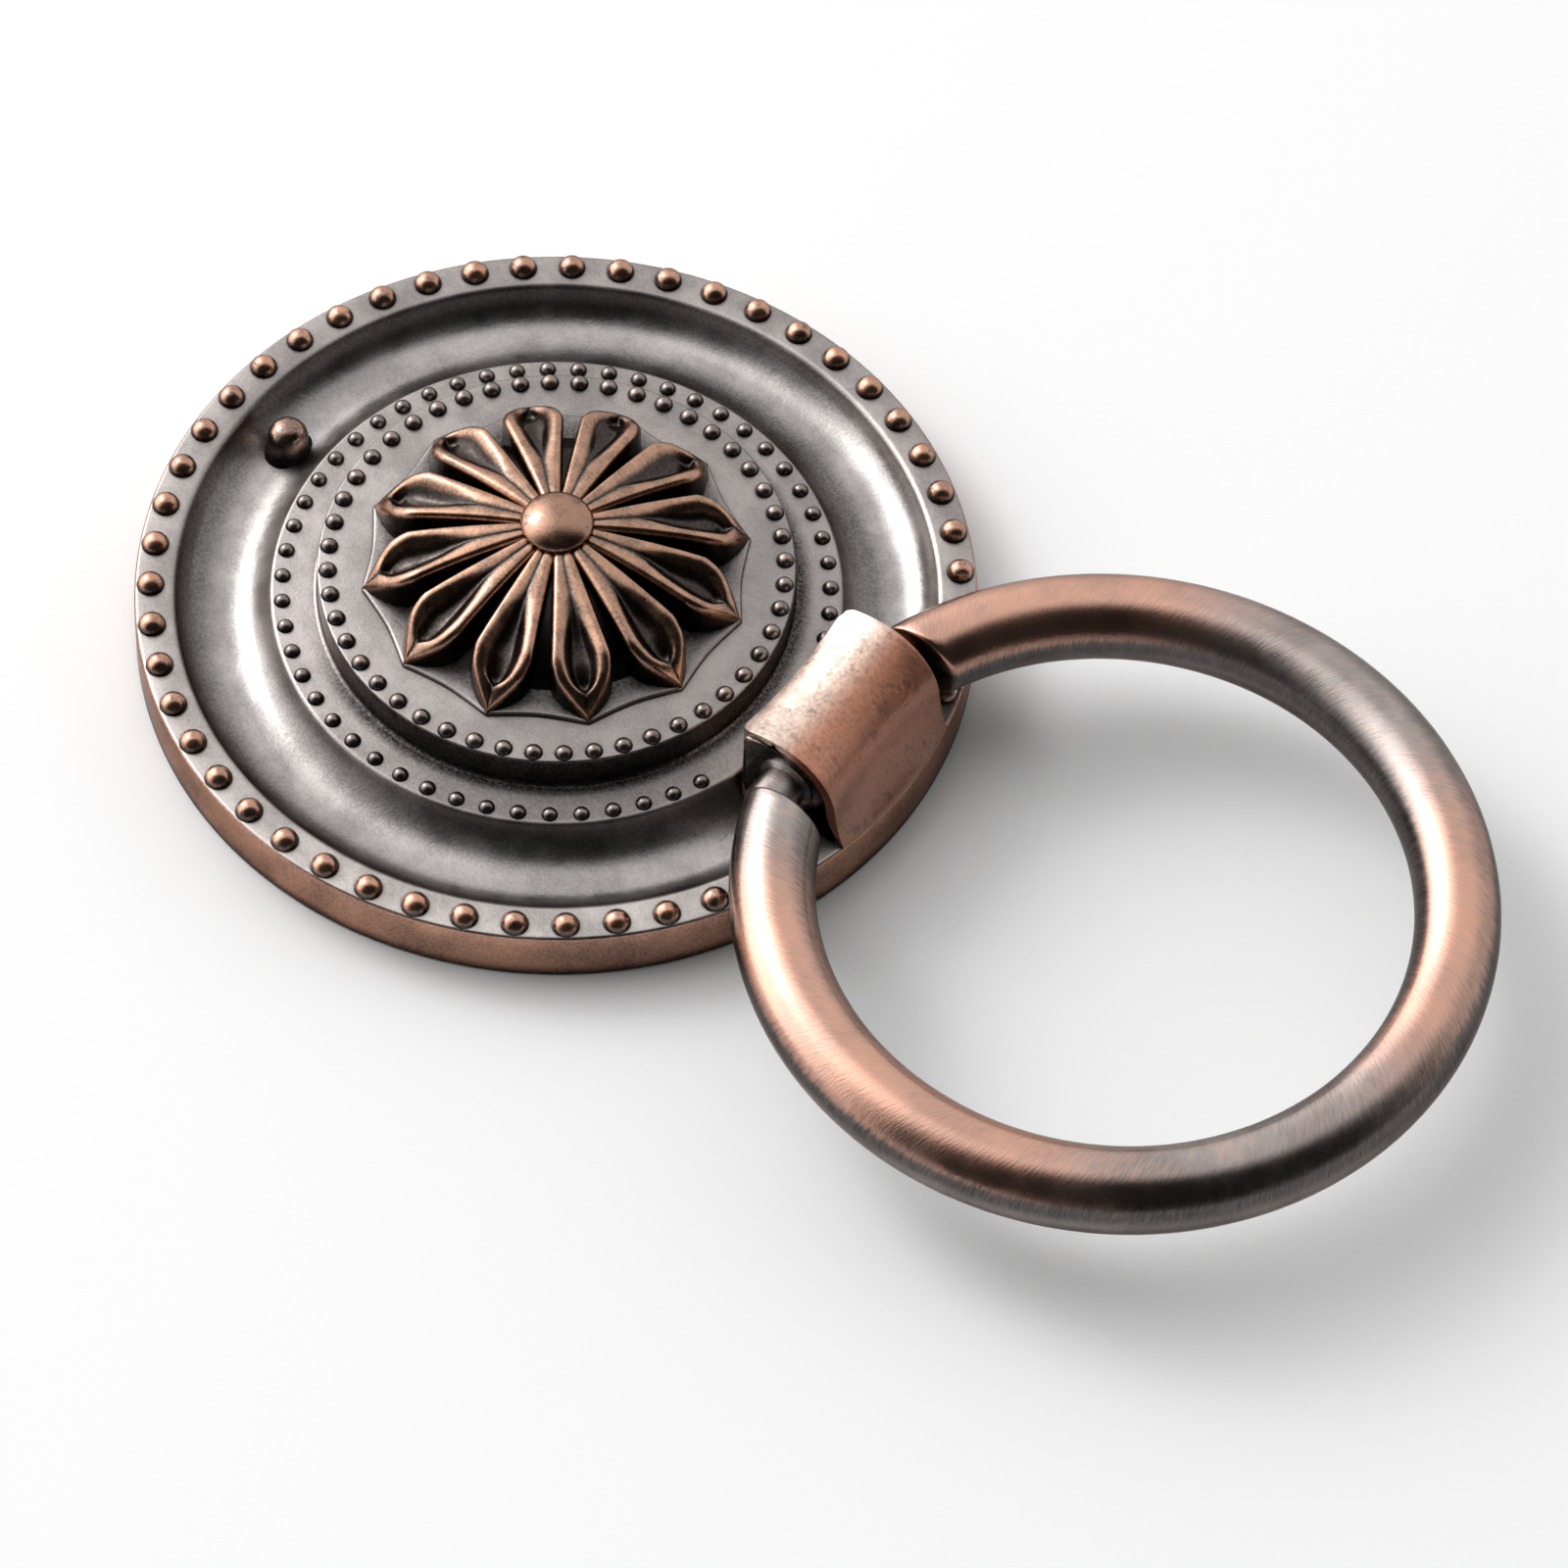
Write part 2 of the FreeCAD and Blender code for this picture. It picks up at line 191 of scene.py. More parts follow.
def bead_ring(name, ring_radius, ball_radius, base, count, phase, keep_clear):
    """One ring of balls, left out where the lug stands."""
    bm = bmesh.new()
    made = 0
    for index in range(count):
        angle = phase + math.tau * index / count
        x, y = ring_radius * math.cos(angle), ring_radius * math.sin(angle)
        if x > keep_clear and abs(y) < lug_half_length:
            continue
        size = ball_radius * chance.uniform(0.97, 1.0)
        place = Matrix.Translation((x, y, base - bead_sink)) @ Matrix.Rotation(angle, 4, "Z")
        ball = bmesh.ops.create_uvsphere(bm, u_segments=12, v_segments=8, radius=size, matrix=place)
        low = [v for v in ball["verts"] if v.co.z < base - bead_sink - size * 0.45]
        bmesh.ops.delete(bm, geom=low, context="VERTS")
        made += 1
    rims = [e for e in bm.edges if e.is_boundary]
    bmesh.ops.holes_fill(bm, edges=rims, sides=0)
    piece = finish_piece(bm, name, "backplate", 70)
    smoother = piece.modifiers.new("rounder", "SUBSURF")
    smoother.levels = smoother.render_levels = 1
    print(name, "balls", made)
    return piece


clear_x = lug_centre_x - lug_radius
rim_beads = bead_ring("rim_beads", 31.25, 1.2, rim_height, 51, math.pi / 51, clear_x - 1.2)
shoulder_beads = bead_ring(
    "shoulder_beads", 21.15, 0.73, shoulder_height, 55, math.pi / 55, clear_x - 0.73)
disc_beads = bead_ring("disc_beads", 17.58, 0.8, disc_height, 48, 0, 99)

# %% [markdown]
# ## The flower's sheet and the dome under its petals
# Under the petals lies a thin sheet whose edge runs in twelve shallow hollows from point to point.
# A disc with many rim points takes that outline when each point is moved in or out by a formula of
# its angle. The low dome is spun, and closes the grooves between the petals.

# %% Cut the sheet and spin the dome
petal_count = 12
sheet_radius, sheet_thickness = 15.15, 0.35
hollow_radius = sheet_radius * math.cos(math.pi / petal_count) - 0.35


def scallop(angle):
    """Radius of the sheet's edge: full at each point and drawn in between."""
    step = math.tau / petal_count
    part = ((angle / step - 0.5) % 1.0) * 2 - 1
    return hollow_radius + (sheet_radius - hollow_radius) * abs(part) ** 1.8


sheet = bmesh.new()
bmesh.ops.create_circle(sheet, cap_ends=True, radius=1.0, segments=240)
for vert in sheet.verts:
    angle = math.atan2(vert.co.y, vert.co.x)
    reach = scallop(angle)
    vert.co = (reach * math.cos(angle), reach * math.sin(angle), disc_height - sheet_thickness)
lifted = bmesh.ops.extrude_face_region(sheet, geom=sheet.faces[:])["geom"]
top_verts = [part for part in lifted if isinstance(part, bmesh.types.BMVert)]
bmesh.ops.translate(sheet, vec=(0, 0, 2 * sheet_thickness), verts=top_verts)
top_edges = [e for e in sheet.edges if all(v.co.z > disc_height for v in e.verts)]
soften(sheet, top_edges, 0.25, 3)
sheet_piece = finish_piece(sheet, "flower_sheet", "backplate", 50)

dome = spun([(0, 7.9), (12.0, 7.9), (12.0, 8.25), (11.0, 9.05), (9.6, 10.05), (7.9, 10.95),
             (6.0, 11.6), (4.0, 11.98), (2.3, 12.05), (0, 12.05)], 72)
dome_piece = finish_piece(dome, "groove_dome", "backplate", 50)

# %% [markdown]
# ## A petal
# Each petal is a shallow boat: a rounded rib runs up one side, round the point and back, and the
# middle is sunk. One grid makes it. Its columns are spread between the centre line, the rib and the
# outer wall, and its rows from the root to the point, so the ribs keep their width where the petal
# narrows. The tops follow the flower's crown, which is low at first and falls steeply at the tips.

# %% Shape one petal and copy it round
def soft_min(first, second, blend):
    """The lower of two values, with a rounded change from one to the other."""
    part = max(0.0, min(1.0, 0.5 + 0.5 * (second - first) / blend))
    return second * (1 - part) + first * part - blend * part * (1 - part)


def bulge(share):
    """Rise of a shallow arc over its chord, with no effect before its start."""
    return 4 * share * (1 - share) if share > 0 else 0.0


def crown(radius):
    """Height of the ribs' tops at a distance from the axis."""
    low = 13.38 - 0.0009 * radius - 0.01085 * radius ** 2
    share = (radius - 12.0) / 3.09
    fall = 11.8 - 3.55 * share + 0.28 * bulge(share)
    return soft_min(low, fall, 0.7)


def ridge(x):
    """Half the distance between the two ribs' tops, along the petal."""
    body = 0.469 + 0.1733 * (x - 2.96) + 0.0013 * (x - 2.96) * (x - 7.4)
    share = (x - 11.81) / 2.94
    point = 2.125 * (1 - share) + 0.3 * bulge(share)
    return max(0.0, soft_min(body, point, 0.75))


def outline(x):
    """Half the petal's width over its ribs."""
    body = 0.469 + 0.42 + 0.1733 * (x - 2.96) + 0.0013 * (x - 2.96) * (x - 7.4)
    share = (x - 12.0) / 3.12
    point = 2.5 * (1 - share) + 0.36 * bulge(share)
    return max(0.0, soft_min(body, point, 0.8))


def recess(x):
    """Depth of the sunk middle, deepest near the petal's broad end."""
    return 0.45 + 0.95 * max(0.0, min(1.0, (x - 5.0) / 5.5))


stations = [2.62, 2.63, 3.4, 4.3, 5.3, 6.3, 7.3, 8.2, 9.0, 9.7, 10.3, 10.8, 11.25, 11.65, 12.0,
            12.3, 12.6, 12.9, 13.2, 13.5, 13.8, 14.05, 14.3, 14.5, 14.66, 14.8, 14.93, 15.03, 15.1,
            15.12]
# Each column is its spread over the sunk middle, its climb up the rib and how far it sinks
columns = [(0.0, 0.0, 1.0), (0.45, 0.0, 0.97), (0.85, 0.0, 0.85), (1.0, 0.12, 0.55), (1.0, 0.4, 0.2),
           (1.0, 0.7, 0.04), (1.0, 1.0, 0.0), (1.0, 1.4, 0.12), (1.0, 1.75, 0.45), (1.0, 2.0, 1.0)]
rub_of_column = [0.1, 0.08, 0.1, 0.45, 0.78, 0.95, 1.0, 0.95, 0.7, 0.25, 0.0]


def petal_point(row, column, side):
    """Where one point of the grid goes."""
    x = stations[row]
    spread, climb, sink = columns[min(column, 9)]
    out, top = outline(x), ridge(x)
    inner = max(0.0, top - 1.05)
    y = inner * spread
    if climb <= 1.0:
        y += (top - inner) * climb
    else:
        y = top + (out - top) * (climb - 1.0)
    height = crown(math.hypot(x, y))
    if column < 7:
        room = min(1.0, inner / 0.5)
        height -= sink * (0.12 + (recess(x) - 0.12) * room)
    else:
        height -= 0.6 * sink
    if row == 0 or column == 10:
        height = disc_height
    return Vector((x, y * side, max(height, disc_height)))


petals = bmesh.new()
rub_mark = petals.verts.layers.float.new("rub")
grid = bmesh.ops.create_grid(petals, x_segments=len(stations) - 1, y_segments=20, size=1.0)
for vert in grid["verts"]:
    row = round((vert.co.x + 1) / 2 * (len(stations) - 1))
    place = round((vert.co.y + 1) / 2 * 20) - 10
    vert.co = petal_point(row, abs(place), -1 if place < 0 else 1)
    vert[rub_mark] = rub_of_column[abs(place)]
bmesh.ops.remove_doubles(petals, verts=petals.verts, dist=0.004)
open_edges = [e for e in petals.edges if e.is_boundary]
bmesh.ops.holes_fill(petals, edges=open_edges, sides=0)
bmesh.ops.recalc_face_normals(petals, faces=petals.faces)
first_petal = petals.verts[:] + petals.edges[:] + petals.faces[:]
bmesh.ops.rotate(petals, cent=(0, 0, 0), matrix=Matrix.Rotation(math.pi / petal_count, 3, "Z"),
                 verts=petals.verts)
for index in range(1, petal_count):
    copy = bmesh.ops.duplicate(petals, geom=first_petal)["geom"]
    verts = [part for part in copy if isinstance(part, bmesh.types.BMVert)]
    bmesh.ops.rotate(petals, cent=(0, 0, 0), verts=verts,
                     matrix=Matrix.Rotation(math.tau * index / petal_count, 3, "Z"))
petals_piece = finish_piece(petals, "petals", "backplate", 60)

# %% [markdown]
# ## The button and the nub
# The button in the flower's middle is a low dome on a narrower stem, and the nub across the trough
# is a short pin with a round head, which stops the closed ring. Both are spun.

# %% Spin the button and the nub
button = spun([(0, 11.0), (2.3, 11.0), (2.3, 12.9), (2.62, 12.94), (2.82, 13.15), (2.86, 13.45),
               (2.74, 13.78), (2.45, 14.08), (2.0, 14.36), (1.4, 14.61), (0.7, 14.79),
               (0, 14.85)], 48)
button_piece = finish_piece(button, "button", "backplate", 50)

nub = spun([(0, 1.4), (2.3, 1.4), (2.1, 2.5), (1.72, 2.75), (1.58, 3.15), (1.56, 3.6), (1.6, 4.1),
            (1.52, 4.6), (1.3, 5.0), (0.95, 5.33), (0.5, 5.5), (0, 5.56)], 40)
bmesh.ops.translate(nub, vec=(-25.8, 0, 0), verts=nub.verts)
nub_piece = finish_piece(nub, "nub", "backplate", 50)

# %% [markdown]
# ## The lug
# The lug is a saddle across the rim, drawn in at its waist, with a sunk face at each end and a bore
# right through for the ring's pins. Its surface is a string of closed outlines, each on its own
# plane: from the bore out over the sunk face, up its wall, across the lip, along the waisted back
# to the other end and in again. Circles with equally many points take those outlines, and
# neighbours are bridged.

# %% Bridge the lug's outlines
pivot = Vector((26.4, 0, 9.32))
lug_centre_height, lug_waist, lug_lip, recess_depth = 8.05, 0.48, 0.9, 1.6
inner_reach, leg_wall, foot_height, bore_radius = 3.8, 0.7, 4.88, 2.36
inner_x = lug_centre_x - inner_reach


def between(start, end, count):
    """Points on a straight run, without its end."""
    return [start.lerp(end, index / count) for index in range(count)]


def arch(radius, reach, count, lift=0.0, last=0.0):
    """Points over the lug's back, from the inner leg down the other side to a last angle."""
    first = math.pi - math.asin(math.sqrt(radius ** 2 - reach ** 2) / radius)
    points = []
    for index in range(count):
        turn = first + (last - first) * index / count
        past_top = max(0.0, (turn - math.pi / 2) / (first - math.pi / 2))
        points.append(Vector((lug_centre_x + radius * math.cos(turn),
                              lug_centre_height + radius * math.sin(turn) + lift * past_top ** 2)))
    return points


def back_outline(y):
    """Closed outline of the whole lug: leg, arch, slope onto the plate's side, and a hidden foot."""
    end_share = (y / lug_half_length) ** 2
    radius = lug_radius - lug_waist * (1 - end_share)
    foot_x = math.sqrt(plate_radius ** 2 - y ** 2) + 0.02
    centre = Vector((lug_centre_x, lug_centre_height))
    to_foot = Vector((foot_x, foot_height)) - centre
    last = 0.45 * (math.atan2(to_foot.y, to_foot.x) + math.acos(radius / to_foot.length))
    leave = centre + radius * Vector((math.cos(last), math.sin(last)))
    knee = leave + 0.5 * (leave.y - foot_height) * Vector((math.tan(last), -1.0))
    root = Vector((inner_x, 1.3))
    foot, toe = Vector((foot_x, foot_height)), Vector((foot_x - 0.4, foot_height - 0.7))
    shoulder = arch(radius, inner_reach, 28, 0.75 * end_share, last)
    slope = [leave.lerp(knee, index / 12).lerp(knee.lerp(foot, index / 12), index / 12)
             for index in range(12)]
    return (between(root, shoulder[0], 6) + shoulder + slope + between(foot, toe, 6)
            + between(toe, root, 8))


def sunk_outline(y):
    """Outline of the sunk end face: one wall's thickness inside the lug's own."""
    radius, reach, low = lug_radius - lug_lip, inner_reach - leg_wall, rim_height + 0.05
    root = Vector((lug_centre_x - reach, low))
    toe = Vector((math.sqrt(plate_radius ** 2 - y ** 2) - lug_lip, low))
    over = arch(radius, reach, 28, 0.6)
    side_top = Vector((lug_centre_x + radius, lug_centre_height))
    near_toe = toe.lerp(side_top, 0.06)
    return (between(root, over[0], 6) + over + between(side_top, near_toe, 12)
            + between(near_toe, toe, 6) + between(toe, root, 8))


def bore_outline(y):
    """The bore, with each point in the direction of the sunk face's."""
    centre = Vector((pivot.x, pivot.z))
    return [centre + (point - centre).normalized() * bore_radius for point in sunk_outline(inner_y)]


def outline_loop(bm, y, outline):
    """Closed loop of edges that takes an outline at one y."""
    points = outline(y)
    circle = bmesh.ops.create_circle(bm, segments=len(points), radius=1.0)["verts"]
    for vert, point in zip(circle, points):
        vert.co = (point.x, y, point.y)
    return list({edge for vert in circle for edge in vert.link_edges})


lug = bmesh.new()
inner_y = lug_half_length - recess_depth
loops = [outline_loop(lug, -inner_y, bore_outline), outline_loop(lug, -inner_y, sunk_outline),
         outline_loop(lug, -lug_half_length, sunk_outline)]
for part in (-1, -0.95, -0.88, -0.7, -0.48, -0.24, 0, 0.24, 0.48, 0.7, 0.88, 0.95, 1):
    loops.append(outline_loop(lug, part * lug_half_length, back_outline))
loops += [outline_loop(lug, lug_half_length, sunk_outline), outline_loop(lug, inner_y, sunk_outline),
          outline_loop(lug, inner_y, bore_outline)]
for first, second in zip(loops, loops[1:] + loops[:1]):
    bmesh.ops.bridge_loops(lug, edges=first + second)
bmesh.ops.recalc_face_normals(lug, faces=lug.faces)
corner = [e for e in lug.edges
          if all(abs(v.co.x - inner_x) < 0.03 and v.co.z > 10.5 for v in e.verts)]
soften(lug, corner, 0.8, 5)
lips = [e for e in lug.edges if len(e.link_faces) == 2 and e.calc_face_angle() > 0.6
        and all(abs(abs(v.co.y) - lug_half_length) < 0.01 for v in e.verts)]
soften(lug, lips, 0.2, 3)
bend = [e for e in lug.edges
        if all(abs(v.co.z - foot_height) < 0.01 and v.co.x > 31 for v in e.verts)]
soften(lug, bend, 0.5, 4)
print("lug faces before its corners and collars", len(lug.faces))

# %% [markdown]
# ## The lug's corners and collars
# Seen from above, the lug's two corners over the plate are rounded, which the outlines can't say,
# so the points near them are drawn from a square corner onto a quarter circle. Then a thin collar
# is set round each end of the bore, where the pin goes in.

# %% Round the lug's corners and add its collars
corner_round = 1.2
for vert in lug.verts:
    from_side = (inner_x + corner_round - vert.co.x) / corner_round
    from_end = (abs(vert.co.y) - lug_half_length + corner_round) / corner_round
    if from_side > 0 and from_end > 0:
        drawn_in = max(from_side, from_end) / math.hypot(from_side, from_end)
        vert.co.x = inner_x + corner_round * (1 - from_side * drawn_in)
        rounded_y = lug_half_length - corner_round * (1 - from_end * drawn_in)
        vert.co.y = math.copysign(rounded_y, vert.co.y)
collar_inner, collar_outer, collar_end = bore_radius + 0.02, 3.11, lug_half_length - 0.1
for way in (-1, 1):
    rims = [(collar_inner, inner_y - 0.3), (collar_inner, collar_end - 0.1),
            (collar_inner + 0.08, collar_end), (collar_outer - 0.11, collar_end),
            (collar_outer, collar_end - 0.1), (collar_outer, inner_y - 0.3)]
    tube = []
    for radius, y in rims:
        made = bmesh.ops.create_circle(lug, segments=48, radius=radius)["verts"]
        stand = Matrix.Translation((pivot.x, way * y, pivot.z)) @ Matrix.Rotation(math.pi / 2, 4, "X")
        bmesh.ops.transform(lug, matrix=stand, verts=made)
        tube.append(list({edge for vert in made for edge in vert.link_edges}))
    for first, second in zip(tube, tube[1:] + tube[:1]):
        bmesh.ops.bridge_loops(lug, edges=first + second)
lug_piece = finish_piece(lug, "lug", "backplate", 40)

# %% [markdown]
# ## The ring
# A round bar bent to a circle: its section is spun once round the ring's centre, the mouth is cut
# with two flat planes, and the ends are closed and rounded a little. A short pin stands out of each
# end into the lug. The ring rests on the rim's beads, one degree below level.

# %% Bend the bar and add its pins
bar_radius, ring_radius, ring_reach, mouth_y, droop = 3.27, 25.725, 25.8, 8.9, 1.0
side_shift, pin_inner = 0.9, 4.15
ring_centre = pivot + Vector((ring_reach, 0, 0))
ring = bmesh.new()
section = bmesh.ops.create_circle(ring, segments=40, radius=bar_radius)["verts"]
upright = Matrix.Rotation(math.pi / 2, 3, "X")
bmesh.ops.rotate(ring, cent=(0, 0, 0), matrix=upright, verts=section)
bmesh.ops.translate(ring, vec=ring_centre + Vector((ring_radius, 0, 0)), verts=section)
bmesh.ops.spin(ring, geom=ring.verts[:] + ring.edges[:], cent=ring_centre, axis=(0, 0, 1),
               dvec=(0, 0, 0), angle=math.tau, steps=200, use_merge=True, use_duplicate=False)
near = [v for v in ring.verts if v.co.x < ring_centre.x and abs(v.co.y) < mouth_y - 3]
bmesh.ops.delete(ring, geom=near, context="VERTS")
for way in (-1, 1):
    half = [f for f in ring.faces
            if f.calc_center_median().x < ring_centre.x and f.calc_center_median().y * way > 0]
    parts = list({e for f in half for e in f.edges}) + list({v for f in half for v in f.verts})
    bmesh.ops.bisect_plane(ring, geom=half + parts, plane_co=(0, way * (mouth_y + 0.34), 0),
                           plane_no=(0, -way, 0), clear_outer=True)
ends = [e for e in ring.edges if e.is_boundary]
caps = bmesh.ops.holes_fill(ring, edges=ends, sides=0)["faces"]
for cap in caps:
    way = math.copysign(1, cap.calc_center_median().y)
    lean = math.asin(mouth_y / ring_radius)
    along = Vector((-math.sin(lean), -way * math.cos(lean), 0))
    for step, size in ((0.16, 0.985), (0.12, 0.965), (0.08, 0.94)):
        cap = bmesh.ops.extrude_discrete_faces(ring, faces=[cap])["faces"][0]
        middle = cap.calc_center_median()
        for vert in cap.verts:
            vert.co = middle + (vert.co - middle) * size + along * step
bmesh.ops.recalc_face_normals(ring, faces=ring.faces)
print("ring faces before its pins", len(ring.faces))

# %% [markdown]
# ## The ring's pins
# Each pin runs thick in the lug's bore and thinner from the lug's mouth to the bar, so that it
# stays hidden in the bar's end. Both are spun, then turned to lie along the bore.

# %% Set the two pins
neck_radius, pin_radius, neck_start = 1.85, 2.3, 6.5
for way in (-1, 1):
    cuts = [(0, pin_inner), (pin_radius - 0.25, pin_inner), (pin_radius, pin_inner + 0.25),
            (pin_radius, neck_start - 0.3), (neck_radius, neck_start), (neck_radius, mouth_y + 0.15),
            (0, mouth_y + 0.15)]
    pin = spun(cuts, 48)
    laid = Matrix.Translation((pivot.x, 0, pivot.z)) @ Matrix.Rotation(-way * math.pi / 2, 4, "X")
    bmesh.ops.transform(pin, matrix=laid, verts=pin.verts)
    spare = bpy.data.meshes.new("pin")
    pin.to_mesh(spare)
    pin.free()
    ring.from_mesh(spare)
    bpy.data.meshes.remove(spare)
bmesh.ops.translate(ring, vec=(0, -side_shift, 0), verts=ring.verts)
bmesh.ops.rotate(ring, cent=pivot, matrix=Matrix.Rotation(math.radians(droop), 3, "Y"),
                 verts=ring.verts)
ring_piece = finish_piece(ring, "ring_bar", "ring", 40)

# %% [markdown]
# ## Node helpers
# A material is a small machine of nodes. Wiring them by hand in a script is long, so a few helpers
# keep it readable: one adds a node and plugs in what it is given, others do sums and fades, and one
# starts a node group with its named inputs and outputs.

# %% Helpers for wiring nodes
def add(tree, kind, settings=None, **plugs):
    """Add a node; a plug is either a fixed value or another node's output."""
    node = tree.nodes.new(kind)
    for key, value in (settings or {}).items():
        setattr(node, key, value)
    for key, value in plugs.items():
        name = key.replace("_", " ")
        place = int(key[1:]) if key[0] == "i" and key[1:].isdigit() else name
        if isinstance(value, bpy.types.NodeSocket):
            tree.links.new(value, node.inputs[place])
        else:
            node.inputs[place].default_value = value
    return node


def calc(tree, operation, first, second=0.5, third=0.5, clamp=False):
    """One sum on plain values."""
    node = add(tree, "ShaderNodeMath", {"operation": operation, "use_clamp": clamp},
               i0=first, i1=second, i2=third)
    return node.outputs[0]


def fade(tree, value, start, end):
    """0 before the start, 1 after the end, with a soft change between them."""
    node = add(tree, "ShaderNodeMapRange", {"interpolation_type": "SMOOTHSTEP"},
               Value=value, From_Min=start, From_Max=end)
    return node.outputs[0]


def blend(tree, share, first, second):
    """Mix of two colours."""
    node = add(tree, "ShaderNodeMix", {"data_type": "RGBA"}, i0=share, i6=first, i7=second)
    return node.outputs[2]


def most(tree, *values):
    """The largest of several values."""
    top = values[0]
    for value in values[1:]:
        top = calc(tree, "MAXIMUM", top, value)
    return top


def times(tree, *values):
    """Several values multiplied together."""
    total = values[0]
    for value in values[1:]:
        total = calc(tree, "MULTIPLY", total, value)
    return total


def near_turn(tree, turned, angle, width):
    """1 at one angle round an axis, fading out both ways round."""
    off = calc(tree, "COSINE", calc(tree, "SUBTRACT", turned, math.radians(angle)))
    return fade(tree, off, math.cos(math.radians(width)), 1.0)


def group(name, inputs, outputs):
    """Start a node group; returns the group, its inputs and its output node."""
    tree = bpy.data.node_groups.new(name, "ShaderNodeTree")
    for label, kind, value in inputs:
        made = tree.interface.new_socket(name=label, in_out="INPUT", socket_type=kind)
        if value is not None:
            made.default_value = value
    for label, kind in outputs:
        tree.interface.new_socket(name=label, in_out="OUTPUT", socket_type=kind)
    source = tree.nodes.new("NodeGroupInput")
    return tree, source.outputs, tree.nodes.new("NodeGroupOutput")


def place_group(tree, name, **plugs):
    """Put a group into a material, with its own values."""
    return add(tree, "ShaderNodeGroup", {"node_tree": bpy.data.node_groups[name]}, **plugs).outputs


FLOAT, COLOR, VECTOR = "NodeSocketFloat", "NodeSocketColor", "NodeSocketVector"

# %% [markdown]
# ## The grain of cast metal
# Up close the casting has a fine tooth from the blasting, soft patches where the patina took more
# or less, and here and there a small pit. All three are noise at different sizes,
# in one group, so every material can ask for its own amounts.

# %% Group for grain, patches and pits
tree, given, result = group("cast_grain", [("Vector", VECTOR, None), ("Fine Size", FLOAT, 0.3),
                                           ("Patch Size", FLOAT, 3.0), ("Pits", FLOAT, 0.3)],
                            [("Fine", FLOAT), ("Patch", FLOAT), ("Pit", FLOAT), ("Height", FLOAT)])
fine = add(tree, "ShaderNodeTexNoise", Vector=given["Vector"], Detail=3.0, Roughness=0.6,
           Scale=calc(tree, "DIVIDE", 1000.0, given["Fine Size"])).outputs["Fac"]
patch = add(tree, "ShaderNodeTexNoise", Vector=given["Vector"], Detail=4.0, Roughness=0.6,
            Scale=calc(tree, "DIVIDE", 1000.0, given["Patch Size"])).outputs["Fac"]
spots = add(tree, "ShaderNodeTexNoise", Vector=given["Vector"], Detail=1.0,
            Scale=calc(tree, "DIVIDE", 2200.0, given["Patch Size"])).outputs["Fac"]
pits = calc(tree, "MULTIPLY", fade(tree, spots, 0.6, 0.68), given["Pits"])
height = calc(tree, "SUBTRACT", fine, pits)
tree.links.new(pits, result.inputs["Pit"])
tree.links.new(fade(tree, fine, 0.3, 0.7), result.inputs["Fine"])
tree.links.new(fade(tree, patch, 0.35, 0.65), result.inputs["Patch"])
tree.links.new(height, result.inputs["Height"])
print("group", tree.name, "nodes", len(tree.nodes))

# %% [markdown]
# ## Aged copper
# Antique copper is made in three steps: the casting is plated, blackened all over, and rubbed until
# the metal shows again on whatever stands proud. So the colour is a body tone, black by the Hollow
# input, which is patina in hollows and in places painted shade, and bright copper where it is rubbed,
# and the grain breaks up both borders.

# %% Group for the colour and the gloss of aged copper
tree, given, result = group(
    "aged_copper",
    [("Body", COLOR, (0.2, 0.185, 0.18, 1)), ("Copper", COLOR, (0.66, 0.36, 0.25, 1)),
     ("Hollow", FLOAT, 0.0), ("Rub", FLOAT, 0.0), ("Fine", FLOAT, 0.5), ("Patch", FLOAT, 0.5),
     ("Gloss", FLOAT, 0.31)],
    [("Color", COLOR), ("Roughness", FLOAT)])
tint = calc(tree, "MULTIPLY_ADD", given["Fine"], 0.2, 0.75)
tint = calc(tree, "MULTIPLY_ADD", given["Patch"], 0.3, tint)
scaled = add(tree, "ShaderNodeVectorMath", {"operation": "SCALE"}, i0=given["Body"], Scale=tint)
# The Hollow input carries patina and, for some finishes, painted shade and painted reflection.
sunk = calc(tree, "MULTIPLY", given["Hollow"],
            calc(tree, "MULTIPLY_ADD", given["Fine"], -0.35, 1.15), clamp=True)
dark = blend(tree, sunk, scaled.outputs[0], (0.016, 0.013, 0.013, 1))
broken = calc(tree, "MULTIPLY_ADD", calc(tree, "SUBTRACT", given["Fine"], 0.5), 0.4, given["Rub"])
bare = calc(tree, "MULTIPLY", broken, fade(tree, given["Rub"], 0.0, 0.25), clamp=True)
tree.links.new(blend(tree, bare, dark, given["Copper"]), result.inputs["Color"])
rough = calc(tree, "MULTIPLY_ADD", sunk, 0.08, given["Gloss"])
rough = calc(tree, "MULTIPLY_ADD", bare, -0.04, rough)
rough = calc(tree, "MULTIPLY_ADD", given["Patch"], 0.08, rough)
tree.links.new(rough, result.inputs["Roughness"])
print("group", tree.name, "nodes", len(tree.nodes))

# %% [markdown]
# ## Hollows and edges
# Blackening stays where the polishing wheel can't reach. The Ambient Occlusion node measures just
# that: how much of the sky a point sees within a small distance. It also sees the ring, so where the
# ring lies close by it darkens the plate and the lug, which is painted shade. Turned inward it finds
# the edges, which the wheel reaches first.

# %% Group for hollows and worn edges
tree, given, result = group("reach_of_the_wheel",
                            [("Hollow Size", FLOAT, 1.5), ("Edge Size", FLOAT, 0.3)],
                            [("Hollow", FLOAT), ("Edge", FLOAT)])
